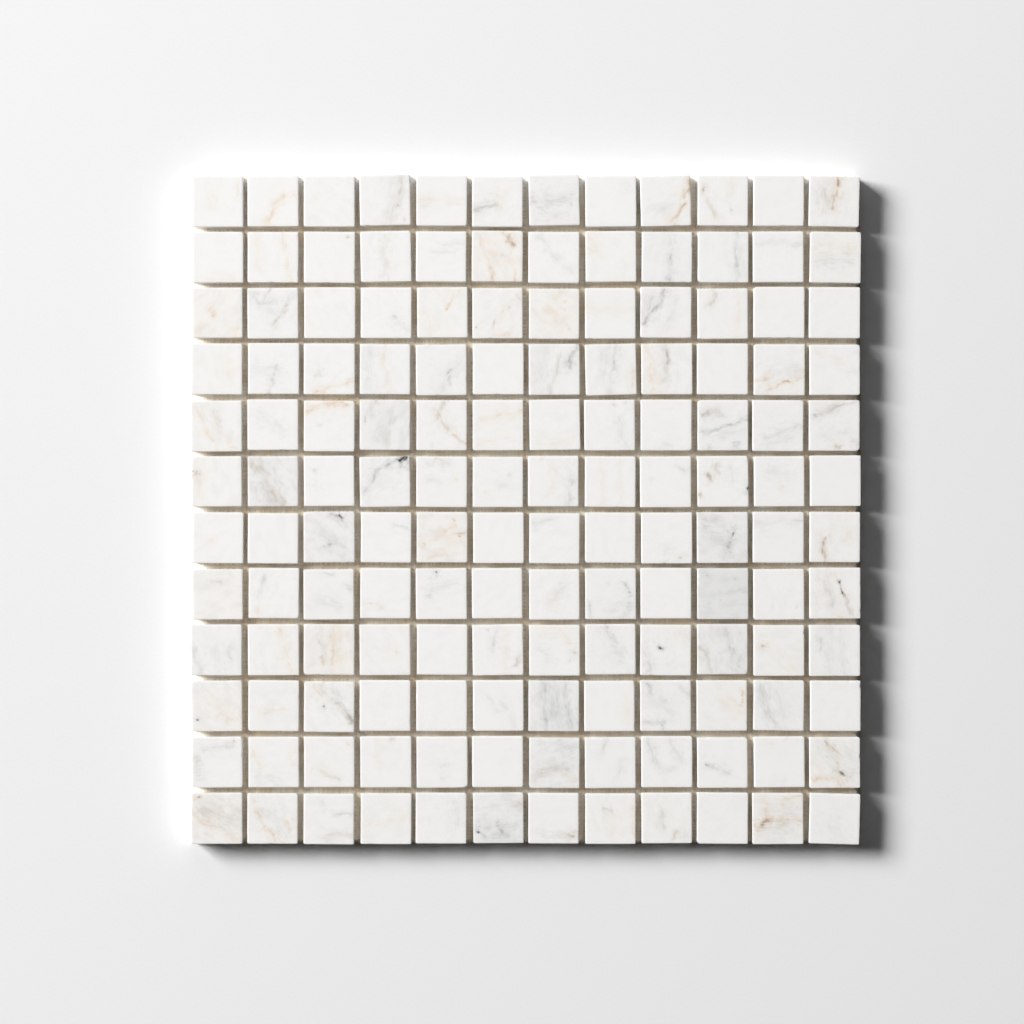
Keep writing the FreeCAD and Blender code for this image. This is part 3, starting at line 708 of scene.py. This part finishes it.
class Graph:
    """A short way to lay out a node tree: each method adds one node or a few and gives back the result."""

    def __init__(self, tree):
        self.tree = tree

    def add(self, kind, inputs=(), **settings):
        """A node of any kind, with a value or another node's output for each input that is named."""
        node = self.tree.nodes.new(kind)
        for name, value in settings.items():
            setattr(node, name, value)
        for key, value in dict(inputs).items():
            self.feed(value, node.inputs[key])
        return node

    def feed(self, value, socket):
        """A value for a socket, or a link to it."""
        if isinstance(value, bpy.types.NodeSocket):
            self.tree.links.new(value, socket)
        else:
            socket.default_value = value

    def math(self, operation, *values):
        return self.add("ShaderNodeMath", enumerate(values), operation=operation).outputs[0]

    def vector(self, operation, *values):
        node = self.add("ShaderNodeVectorMath", enumerate(values), operation=operation)
        return node.outputs["Value" if operation in ("DOT_PRODUCT", "DISTANCE", "LENGTH") else "Vector"]

    def scaled(self, vector, factor):
        return self.add(
            "ShaderNodeVectorMath", {"Vector": vector, "Scale": factor}, operation="SCALE"
        ).outputs["Vector"]

    def parts(self, vector):
        """A vector's x, y and z."""
        return self.add("ShaderNodeSeparateXYZ", {0: vector}).outputs

    def place(self):
        """The place of what is coloured, in metres."""
        return self.add("ShaderNodeNewGeometry").outputs["Position"]

    def attribute(self, name):
        """A vector that the mesh carries."""
        node = self.add("ShaderNodeAttribute", attribute_type="GEOMETRY", attribute_name=name)
        return node.outputs["Vector"]

    def to_camera(self):
        """1 for what the camera sees by itself, 0 for what lights something else."""
        return self.add("ShaderNodeLightPath").outputs["Is Camera Ray"]

    def noise(self, place, scale, detail, roughness, output="Fac"):
        return self.add(
            "ShaderNodeTexNoise",
            {"Vector": place, "Scale": scale, "Detail": detail, "Roughness": roughness},
        ).outputs[output]

    def uneven_lines(self, along, pitch):
        """Straight lines at an uneven pitch: 1 on a line, 0 between two."""
        settings = {"W": along, "Scale": 1 / pitch, "Detail": 1.0, "Roughness": 0.7}
        lines = self.add("ShaderNodeTexNoise", settings, noise_dimensions="1D").outputs["Fac"]
        return self.remap(lines, 0.36, 0.6)

    def remap(self, value, low, high, to_low=0.0, to_high=1.0, smooth=True):
        """The value from between low and high laid between to_low and to_high, and held to their range."""
        return self.add(
            "ShaderNodeMapRange",
            {"Value": value, "From Min": low, "From Max": high, "To Min": to_low, "To Max": to_high},
            interpolation_type="SMOOTHSTEP" if smooth else "LINEAR",
            clamp=True,
        ).outputs["Result"]

    def blend(self, mode, share, one, other):
        node = self.add("ShaderNodeMix", data_type="RGBA", blend_type=mode)
        for socket, value in zip([node.inputs[0], node.inputs[6], node.inputs[7]], [share, one, other]):
            self.feed(value, socket)
        return node.outputs[2]

    def ramp(self, value, stops):
        """The colour of the stops at the value, each stop a value and a colour."""
        node = self.add("ShaderNodeValToRGB", {0: value})
        elements = node.color_ramp.elements
        while len(elements) < len(stops):
            elements.new(0.5)
        for element, (place, colour) in zip(elements, stops):
            element.position = place
            element.color = (*colour, 1.0)
        return node.outputs["Color"]


def stroke_group():
    """Node group: how strongly one straight piece of a vein colours a place on the stone."""
    tree = bpy.data.node_groups.new("piece of a vein", "ShaderNodeTree")
    for name in ("Place", "Fray", "Start", "Run"):
        tree.interface.new_socket(name=name, in_out="INPUT", socket_type="NodeSocketVector")
    for name in ("Sharpness", "So far"):
        tree.interface.new_socket(name=name, in_out="INPUT", socket_type="NodeSocketFloat")
    tree.interface.new_socket(name="Strength", in_out="OUTPUT", socket_type="NodeSocketFloat")
    graph = Graph(tree)
    given = tree.nodes.new("NodeGroupInput").outputs
    result = tree.nodes.new("NodeGroupOutput").inputs
    flat = (1.0, 1.0, 0.0)
    fade = graph.parts(given["Start"])["Z"]
    # a thin stroke frays less than a wide one, or it would fall apart
    fray_share = graph.math("MINIMUM", graph.math("DIVIDE", FULL_FRAY_SHARPNESS, fade), 1.0)
    frayed = graph.vector("ADD", given["Place"], graph.scaled(given["Fray"], fray_share))
    off = graph.vector("MULTIPLY", graph.vector("SUBTRACT", frayed, given["Start"]), flat)
    run = graph.vector("MULTIPLY", given["Run"], flat)
    share = graph.math("DIVIDE", graph.vector("DOT_PRODUCT", off, run), graph.vector("DOT_PRODUCT", run, run))
    share.node.use_clamp = True
    gap = graph.vector("DISTANCE", off, graph.scaled(run, share))
    strength = graph.parts(given["Run"])["Z"]
    widths_off = graph.math("MULTIPLY", graph.math("MULTIPLY", gap, fade), given["Sharpness"])
    here = graph.math("DIVIDE", strength, graph.math("MULTIPLY_ADD", widths_off, widths_off, 1.0))
    tree.links.new(graph.math("MAXIMUM", here, given["So far"]), result["Strength"])
    return tree


def all_strokes(graph, group, family, place, fray, sharpness):
    """How strongly all a tile's warm or grey strokes together colour a place."""
    so_far = 0.0
    for number in range(STROKES_OF_A_KIND):
        so_far = graph.add(
            "ShaderNodeGroup",
            {
                "Place": place,
                "Fray": fray,
                "Start": graph.attribute(f"{family}_start_{number}"),
                "Run": graph.attribute(f"{family}_run_{number}"),
                "Sharpness": sharpness,
                "So far": so_far,
            },
            node_tree=group,
        ).outputs["Strength"]
    return so_far


def new_material(name):
    """An empty material with its graph and its shader node."""
    material = bpy.data.materials.new(name)
    material.use_nodes = True
    graph = Graph(material.node_tree)
    shader = next(node for node in material.node_tree.nodes if node.type == "BSDF_PRINCIPLED")
    return material, graph, shader


def marble_strokes(graph, place, stone, drawn_out, clouds):
    """How strongly a tile's warm strokes and its grey ones colour a place."""
    # they bend and fray: the stone's own coordinates are pulled about before they are drawn
    middle = (0.5, 0.5, 0.5)
    bend = graph.noise(stone, scale=0.17, detail=0.0, roughness=0.5, output="Color")
    fray = graph.noise(drawn_out, scale=1.3, detail=1.0, roughness=0.6, output="Color")
    pulled = graph.vector("ADD", place, graph.scaled(graph.vector("SUBTRACT", bend, middle), BEND_MM))
    fray = graph.scaled(graph.vector("SUBTRACT", fray, middle), FRAY_MM)
    sharpness = graph.remap(graph.noise(stone, scale=0.45, detail=1.0, roughness=0.6), 0.3, 0.7, 0.6, 1.4)
    # and break up into streaks and clouds
    streaks = graph.noise(drawn_out, scale=0.9, detail=1.0, roughness=0.6)
    broken = graph.math(
        "MULTIPLY",
        graph.remap(streaks, 0.36, 0.64, 0.65, 1.2),
        graph.remap(clouds, 0.35, 0.62, 0.7, 1.2),
    )
    group = stroke_group()
    return [
        graph.math("MULTIPLY", all_strokes(graph, group, family, pulled, fray, sharpness), broken)
        for family in ("warm", "grey")
    ]


def marble_veil(graph, grown):
    """Faint veins and clouds that every piece of this marble has."""
    turned = graph.vector("MULTIPLY", grown, (0.55, 1.0, 0.6))
    swells = graph.noise(turned, scale=0.14, detail=2.0, roughness=0.6)
    ridge = graph.math("ABSOLUTE", graph.math("SUBTRACT", swells, 0.5))
    wisp = graph.remap(ridge, 0.0, 0.04, 1.0, 0.0)
    mottle = graph.remap(graph.noise(turned, scale=0.26, detail=2.0, roughness=0.55), 0.4, 0.72)
    return graph.math("MULTIPLY_ADD", wisp, WISP_SHARE, mottle)


def marble_material():
    """White marble, honed: each tile with its own ground, veins, spots and fine grain."""
    material, graph, shader = new_material("marble")
    place = graph.attribute("stone_place")
    seed = graph.attribute("stone_seed")
    greyness, warmth, mottling = graph.parts(graph.attribute("stone_ground"))
    stone = graph.vector("ADD", place, seed)
    grown = graph.vector("ADD", graph.attribute("stone_grain"), seed)
    drawn_out = graph.vector("MULTIPLY", grown, (0.3, 1.0, 0.6))
    clouds = graph.noise(stone, scale=0.22, detail=1.0, roughness=0.55)
    warm, grey = marble_strokes(graph, place, stone, drawn_out, clouds)

    veil = graph.math("MULTIPLY", marble_veil(graph, grown), mottling)
    grey = graph.math("MULTIPLY_ADD", veil, VEIL_LEVEL, grey)
    grey = graph.math("MULTIPLY_ADD", greyness, GREY_GROUND_LEVEL, grey)
    warm_patch = graph.math("MULTIPLY", graph.remap(clouds, 0.4, 0.7, 0.5, 1.2), warmth)
    warm = graph.math("MULTIPLY_ADD", warm_patch, WARM_GROUND_LEVEL, warm)

    grain = graph.noise(stone, scale=2.2, detail=1.0, roughness=0.7)
    colour = graph.scaled(STONE_WHITE, graph.remap(grain, 0.3, 0.7, 0.975, 1.022, smooth=False))
    colour = graph.blend("MULTIPLY", 1.0, colour, graph.ramp(warm, WARM_TINTS))
    colour = graph.blend("MULTIPLY", 1.0, colour, graph.ramp(grey, GREY_TINTS))

    # glue that was pressed up round the foot of the tile, to an uneven line
    line = graph.remap(graph.noise(stone, scale=0.5, detail=1.0, roughness=0.6), 0.3, 0.75, 0.3, 2.2)
    above_line = graph.math("SUBTRACT", graph.parts(place)["Z"], line)
    smear = graph.remap(above_line, -0.15, 0.25, 0.85, 0.0)
    colour = graph.blend("MIX", smear, colour, SMEARED_GLUE)

    graph.feed(colour, shader.inputs["Base Color"])
    graph.feed(graph.remap(grain, 0.3, 0.7, 0.7, 0.8, smooth=False), shader.inputs["Roughness"])
    pits = graph.noise(stone, scale=1.6, detail=1.0, roughness=0.65)
    bump = graph.add("ShaderNodeBump", {"Height": pits, "Strength": 0.25, "Distance": 0.00006})
    graph.feed(bump.outputs["Normal"], shader.inputs["Normal"])
    shader.inputs["IOR"].default_value = 1.5
    shader.inputs["Specular IOR Level"].default_value = 0.15
    return material


def glue_material():
    """Khaki glue with the weave of the net showing faintly through it."""
    material, graph, shader = new_material("net glue")
    place = graph.scaled(graph.place(), 1 / MM)
    x, y, _ = graph.parts(place)
    blotch = graph.remap(graph.noise(place, scale=0.12, detail=4.0, roughness=0.6), 0.35, 0.65)
    fine = graph.remap(graph.noise(place, scale=1.3, detail=3.0, roughness=0.65), 0.3, 0.7)
    colour = graph.blend("MIX", blotch, DARK_GLUE, PALE_GLUE)
    # darker to the right, as painted shade for the lamp's fall-off across the sheet, and paler near the left
    # and top edges, as painted light where the lamp shines into the joints' ends
    # painted shade: the glue grows darker towards the right, away from the lamp
    soak_and_painted_shade = graph.remap(x, -SHEET_HALF_MM, SHEET_HALF_MM, 1.0, 0.86, smooth=False)
    colour = graph.scaled(colour, soak_and_painted_shade)
    # painted light: the glue is lightened near the left and top edges, which face the lamp
    painted_edge_light = graph.math(
        "MAXIMUM",
        graph.remap(x, 1.0 - SHEET_HALF_MM, 18.0 - SHEET_HALF_MM, 0.5, 0.0),
        graph.remap(y, SHEET_HALF_MM - 18.0, SHEET_HALF_MM - 1.0, 0.0, 0.9),
    )
    colour = graph.blend("MIX", painted_edge_light, colour, LIT_EDGE_PAINT)
    yarns = graph.math(
        "MAXIMUM", graph.uneven_lines(x, YARN_PITCH_MM), graph.uneven_lines(y, YARN_PITCH_MM)
    )
    colour = graph.scaled(colour, graph.remap(yarns, 0.0, 1.0, 0.78, 1.0))
    colour = graph.blend("MULTIPLY", 0.5, colour, graph.ramp(fine, GLUE_GRAIN_TINTS))
    graph.feed(colour, shader.inputs["Base Color"])
    graph.feed(graph.remap(fine, 0.0, 1.0, 0.45, 0.7, smooth=False), shader.inputs["Roughness"])
    bump = graph.add("ShaderNodeBump", {"Height": fine, "Strength": 0.4, "Distance": 0.0001})
    graph.feed(bump.outputs["Normal"], shader.inputs["Normal"])
    shader.inputs["IOR"].default_value = 1.48
    return material


def strand_material():
    """Glass-fibre strands, off-white where the glue has left them bare."""
    material, graph, shader = new_material("glass fibre")
    place = graph.scaled(graph.place(), 1 / MM)
    soak_and_painted_shade = graph.remap(graph.noise(place, scale=0.2, detail=4.0, roughness=0.6), 0.4, 0.62)
    colour = graph.blend("MIX", soak_and_painted_shade, BARE_FIBRE, SOAKED_FIBRE)
    fibres = graph.remap(graph.noise(place, scale=5.0, detail=2.0, roughness=0.6), 0.3, 0.7, 0.85, 1.0)
    graph.feed(graph.scaled(colour, fibres), shader.inputs["Base Color"])
    graph.feed(graph.remap(soak_and_painted_shade, 0.0, 1.0, 0.4, 0.6, smooth=False), shader.inputs["Roughness"])
    return material


def joint_lines():
    """Lines of the glue's grid along one side, in millimetres, and for each step whether it is a joint's."""
    border = SHEET_HALF_MM - EDGE_SETBACK_MM
    lines = [-border]
    in_joint = []
    for joint in range(1, TILES_ACROSS + 1):
        centre = (joint - TILES_ACROSS / 2) * PITCH_MM
        begin = lines[-1]
        end = border if joint == TILES_ACROSS else centre + JOINT_LINES_MM[0]
        for step in range(1, STEPS_UNDER_A_TILE + 1):
            lines.append(begin + (end - begin) * step / STEPS_UNDER_A_TILE)
            in_joint.append(False)
        if joint < TILES_ACROSS:
            for offset in JOINT_LINES_MM[1:]:
                lines.append(centre + offset)
                in_joint.append(True)
    return lines, in_joint


def under_tile(place):
    """0 in the middle of a joint and 1 from a little inside the tiles' sides."""
    off = abs(place - round(place / PITCH_MM) * PITCH_MM)
    if abs(place) > SHEET_HALF_MM - PITCH_MM / 2:
        return 1.0
    share = min(1.0, max(0.0, (off - TROUGH_HALF_MM) / TROUGH_SIDE_MM))
    return share * share * (3 - 2 * share)


def on_strand(place):
    """1 on the middle of a strand of the net, falling to 0 beside it."""
    off = place - (math.floor(place / STRAND_PITCH_MM) + 0.5) * STRAND_PITCH_MM
    return math.exp(-(off / STRAND_RISE_HALF_MM) ** 2)


def at_crossing(x, y):
    """1 where the middles of two joints cross, falling to 0 beside it."""
    off_x = x - round(x / PITCH_MM) * PITCH_MM
    off_y = y - round(y / PITCH_MM) * PITCH_MM
    return math.exp(-(off_x * off_x + off_y * off_y) / KNOT_AREA_MM2)


def glue_height_mm(x, y):
    """Height of the glue's top: pressed up along the tiles, lumpy, and raised over the strands."""
    beside = BESIDE_TILE_RISE_MM * under_tile(x) * under_tile(y)
    wide_place = Vector((x * WIDE_LUMPS_PER_MM, y * WIDE_LUMPS_PER_MM, 3.0))
    lumps = WIDE_LUMP_MM * noise.noise(wide_place) + SMALL_LUMP_MM * noise.noise(Vector((x, y, 9.0)))
    strands = STRAND_RISE_MM * max(on_strand(x), on_strand(y))
    knot = KNOT_RISE_MM * at_crossing(x, y)
    border = SHEET_HALF_MM - EDGE_SETBACK_MM
    left_share = (border + x) / LEFT_SLOPE_MM
    top_share = (border - y) / TOP_SLOPE_MM
    other_share = (border - max(x, -y)) / OTHER_SLOPE_MM
    share = max(0.0, min(1.0, left_share, top_share, other_share))
    rise = share * (2 - share)
    return EDGE_FLOOR_MM + (JOINT_FLOOR_MM - EDGE_FLOOR_MM) * rise + (beside + lumps + knot) * rise + strands


def add_glue_tab(mesh, edge_points, out, hand):
    """A small tongue of glue that stands out from the sheet at the end of a joint."""
    reach = hand.uniform(*TAB_REACH_MM)
    lean = hand.uniform(*TAB_LEAN_MM)
    limit = TAB_LIMIT_MM * MM
    middle = sum((point.co for point in edge_points), Vector()) / len(edge_points)
    rows = [edge_points]
    for share in TAB_STEPS:
        narrow = TAB_WIDTH * math.sqrt(1 - TAB_TAPER * share * share)
        along = Vector((-out.y, out.x, 0)) * lean * share * MM
        fresh = []
        for point in edge_points:
            side = (point.co - middle) * narrow
            place = middle + side + along + out * reach * share * MM
            place.x = max(-limit, min(limit, place.x))
            place.y = max(-limit, min(limit, place.y))
            place.z = (TAB_TOP_MM - TAB_DROOP_MM * share * share) * MM
            fresh.append(mesh.verts.new(place))
        rows.append(fresh)
    for inner, outer in zip(rows, rows[1:]):
        for place in range(len(inner) - 1):
            mesh.faces.new((inner[place], outer[place], outer[place + 1], inner[place + 1]))


def add_seat(mesh, rim):
    """The hollow under a tile: it goes down from the rim, inside the tile, to a flat seat on the net."""
    middle = sum((point.co for point in rim), Vector()) / len(rim)
    seat = []
    for point in rim:
        place = middle + (point.co - middle) * SEAT_SHARE
        place.z = SEAT_HEIGHT_MM * MM
        seat.append(mesh.verts.new(place))
    for here in range(len(rim)):
        after = (here + 1) % len(rim)
        mesh.faces.new((rim[here], rim[after], seat[after], seat[here]))
    mesh.faces.new(seat)


def tile_spans(in_joint):
    """The first and last line of the glue's grid at each tile along one side."""
    spans = []
    begin = None
    for step, joint in enumerate(in_joint + [True]):
        if not joint and begin is None:
            begin = step
        if joint and begin is not None:
            spans.append((begin, step))
            begin = None
    return spans


def make_glue(hand):
    """The glue that fills the net: lumpy joint floors above, flat below, with tongues at the joints' ends."""
    lines, in_joint = joint_lines()
    spans = tile_spans(in_joint)
    last = len(lines) - 1
    mesh = bmesh.new()
    made = {}

    def point(i, j):
        """The grid's point there, made when it is first asked for. Those of the border wander."""
        if (i, j) not in made:
            x, y = lines[i], lines[j]
            bend = noise.noise(Vector((x * EDGE_WANDER_PER_MM, y * EDGE_WANDER_PER_MM, 20.0)))
            wander = EDGE_WANDER_MM * (bend - EDGE_WANDER_INWARD)
            if i in (0, last):
                x += math.copysign(wander, x)
            if j in (0, last):
                y += math.copysign(wander, y)
            made[i, j] = mesh.verts.new((x * MM, y * MM, glue_height_mm(x, y) * MM))
        return made[i, j]

    for i in range(last):
        for j in range(last):
            if in_joint[i] or in_joint[j]:
                mesh.faces.new((point(i, j), point(i + 1, j), point(i + 1, j + 1), point(i, j + 1)))
    for i0, i1 in spans:
        for j0, j1 in spans:
            rim = [point(i, j0) for i in range(i0, i1)]
            rim += [point(i1, j) for j in range(j0, j1)]
            rim += [point(i, j1) for i in range(i1, i0, -1)]
            rim += [point(i0, j) for j in range(j1, j0, -1)]
            add_seat(mesh, rim)
    for (_, start), (end, _) in zip(spans, spans[1:]):
        near = range(start, end + 1)
        add_glue_tab(mesh, [point(i, 0) for i in near], Vector((0, -1, 0)), hand)
        add_glue_tab(mesh, [point(i, last) for i in reversed(near)], Vector((0, 1, 0)), hand)
        add_glue_tab(mesh, [point(0, j) for j in reversed(near)], Vector((-1, 0, 0)), hand)
        add_glue_tab(mesh, [point(last, j) for j in near], Vector((1, 0, 0)), hand)

    # the edge goes down to the flat underside
    border = [edge for edge in mesh.edges if edge.is_boundary]
    skirt = bmesh.ops.extrude_edge_only(mesh, edges=border)["geom"]
    for item in skirt:
        if isinstance(item, bmesh.types.BMVert):
            item.co.z = GLUE_UNDERSIDE_MM * MM
    bmesh.ops.holes_fill(mesh, edges=[edge for edge in mesh.edges if edge.is_boundary])
    bmesh.ops.recalc_face_normals(mesh, faces=mesh.faces)
    return finish_piece("glue_sheet", data_of("glue_sheet", mesh))


def data_of(name, mesh):
    """The mesh that was worked on, as an object's data."""
    data = bpy.data.meshes.new(name)
    mesh.to_mesh(data)
    mesh.free()
    return data


def finish_piece(name, data):
    """The mesh as a smooth piece of the scene."""
    data.shade_smooth()
    data.set_sharp_from_angle(angle=CRISP_ANGLE)
    piece = bpy.data.objects.new(name, data)
    bpy.context.scene.collection.objects.link(piece)
    return piece


def make_strands(name, along_x, hand):
    """All the net's strands that run one way, each going over and under the others in turn."""
    half = SHEET_HALF_MM - EDGE_SETBACK_MM
    first = math.ceil(-half / STRAND_PITCH_MM - 0.5)
    last = math.floor(half / STRAND_PITCH_MM - 0.5)
    middle_height = STRAND_THICKNESS_MM / 2 + STRAND_WAVE_MM
    least, most = STRAND_SHORT_MM
    points = []
    faces = []
    for number in range(first, last + 1):
        across = (number + 0.5) * STRAND_PITCH_MM
        ends = (-half + hand.uniform(least, most), half + hand.uniform(-most, -least))
        stations = [ends[0]]
        stations += [step * STRAND_PITCH_MM / 2 for step in range(2 * first, 2 * last + 3)]
        stations.append(ends[1])
        shift = hand.uniform(*NOISE_SHIFT)
        begin = len(points)
        for station in stations:
            bend = noise.noise(Vector((station * STRAND_WANDER_PER_MM, shift, 0.0)))
            wave = math.sin(math.pi * station / STRAND_PITCH_MM + math.pi * number)
            height = middle_height + STRAND_WAVE_MM * (wave if along_x else -wave)
            for side, lift in ((-1, 0), (0, -1), (1, 0), (0, 1)):
                off = across + STRAND_WANDER_MM * bend + side * STRAND_WIDTH_MM / 2
                x, y = (station, off) if along_x else (off, station)
                points.append((x * MM, y * MM, (height + lift * STRAND_THICKNESS_MM / 2) * MM))
        for station in range(len(stations) - 1):
            for side in range(4):
                here = begin + station * 4 + side
                beside = begin + station * 4 + (side + 1) % 4
                faces.append((here, beside, beside + 4, here + 4))
        faces.append([begin + side for side in reversed(range(4))])
        faces.append([len(points) - 4 + side for side in range(4)])
    if not along_x:
        # the points of these strands have x and y swapped, which turns their faces inside out
        faces = [list(reversed(face)) for face in faces]
    data = bpy.data.meshes.new(name)
    data.from_pydata(points, [], faces)
    return finish_piece(name, data)


def make_floor():
    """A plain pale floor. Away from the sheet it turns, for the camera, into the studio's even white."""
    mesh = bmesh.new()
    bmesh.ops.create_circle(mesh, cap_ends=True, segments=96, radius=FLOOR_RADIUS)
    floor = finish_piece("floor", data_of("floor", mesh))
    material, graph, shader = new_material("studio floor")
    place = graph.place()
    tooth = graph.noise(place, scale=900.0, detail=1.0, roughness=0.5)
    paper = graph.remap(tooth, 0.3, 0.7, 0.99, 1.01, smooth=False)
    graph.feed(graph.scaled(FLOOR_COLOUR, paper), shader.inputs["Base Color"])
    shader.inputs["Roughness"].default_value = 0.9
    shader.inputs["Specular IOR Level"].default_value = 0.2
    white = graph.add("ShaderNodeEmission", {"Color": WHITE, "Strength": BACKDROP_LEVEL})
    far = graph.remap(graph.vector("LENGTH", place), *BACKDROP_BLEND)
    mixed = graph.add("ShaderNodeMixShader", {
        0: graph.math("MULTIPLY", far, graph.to_camera()),
        1: shader.outputs["BSDF"],
        2: white.outputs["Emission"],
    })
    output = next(node for node in graph.tree.nodes if node.type == "OUTPUT_MATERIAL")
    graph.feed(mixed.outputs["Shader"], output.inputs["Surface"])
    floor.data.materials.append(material)


def add_soft_lamp(name, place, width, height, level):
    """A soft lamp aimed at the sheet, which lays that share of white on the floor there."""
    lamp = bpy.data.lights.new(name, "AREA")
    lamp.shape = "RECTANGLE"
    lamp.size = width
    lamp.size_y = height
    # A lamp of P watts lays P * cosine / (pi * distance)^2 on the floor, as a share of white.
    cosine = place.normalized().z
    lamp.energy = level * (math.pi * place.length) ** 2 / cosine
    holder = bpy.data.objects.new(name, lamp)
    holder.location = place
    holder.rotation_euler = (-place).to_track_quat("-Z", "Y").to_euler()
    bpy.context.scene.collection.objects.link(holder)


def make_lights():
    """One large softbox from the left, a weak card from the top, an even fill, and white for the camera."""
    add_soft_lamp("softbox", KEY_PLACE, KEY_WIDTH, KEY_HEIGHT, KEY_LEVEL)
    add_soft_lamp("card", CARD_PLACE, CARD_SIZE, CARD_SIZE, CARD_LEVEL)
    world = bpy.data.worlds.new("studio")
    world.use_nodes = True
    bpy.context.scene.world = world
    graph = Graph(world.node_tree)
    background = next(node for node in world.node_tree.nodes if node.type == "BACKGROUND")
    background.inputs["Color"].default_value = WHITE
    strength = graph.remap(graph.to_camera(), 0.0, 1.0, FILL_LEVEL, BACKDROP_LEVEL, smooth=False)
    graph.feed(strength, background.inputs["Strength"])


def make_camera():
    """Straight above, far enough back that only a little of the tiles' sides shows."""
    data = bpy.data.cameras.new("camera")
    data.sensor_width = SENSOR_WIDTH_MM
    data.lens = SENSOR_WIDTH_MM * CAMERA_HEIGHT / VIEW_WIDTH
    camera = bpy.data.objects.new("camera", data)
    camera.location = (*CAMERA_PLACE, cad_high.z + CAMERA_HEIGHT)
    bpy.context.scene.collection.objects.link(camera)
    bpy.context.scene.camera = camera


bpy.context.scene.view_settings.view_transform = "Standard"
laying_hand = random.Random(7)

marble = marble_material()
for row_number in range(1, TILES_DOWN + 1):
    row_piece = make_row(row_number, laying_hand)
    row_piece.data.materials.append(marble)
    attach(row_piece, "root")
    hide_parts(f"tile_row_{row_number:02d}")

glue = make_glue(laying_hand)
glue.data.materials.append(glue_material())
strands = strand_material()
warp = make_strands("net_warp", False, laying_hand)
weft = make_strands("net_weft", True, laying_hand)
for net_piece in (warp, weft):
    net_piece.data.materials.append(strands)
for net_piece in (glue, warp, weft):
    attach(net_piece, "root")
    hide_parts("mesh_backing")

make_floor()
make_lights()
make_camera()
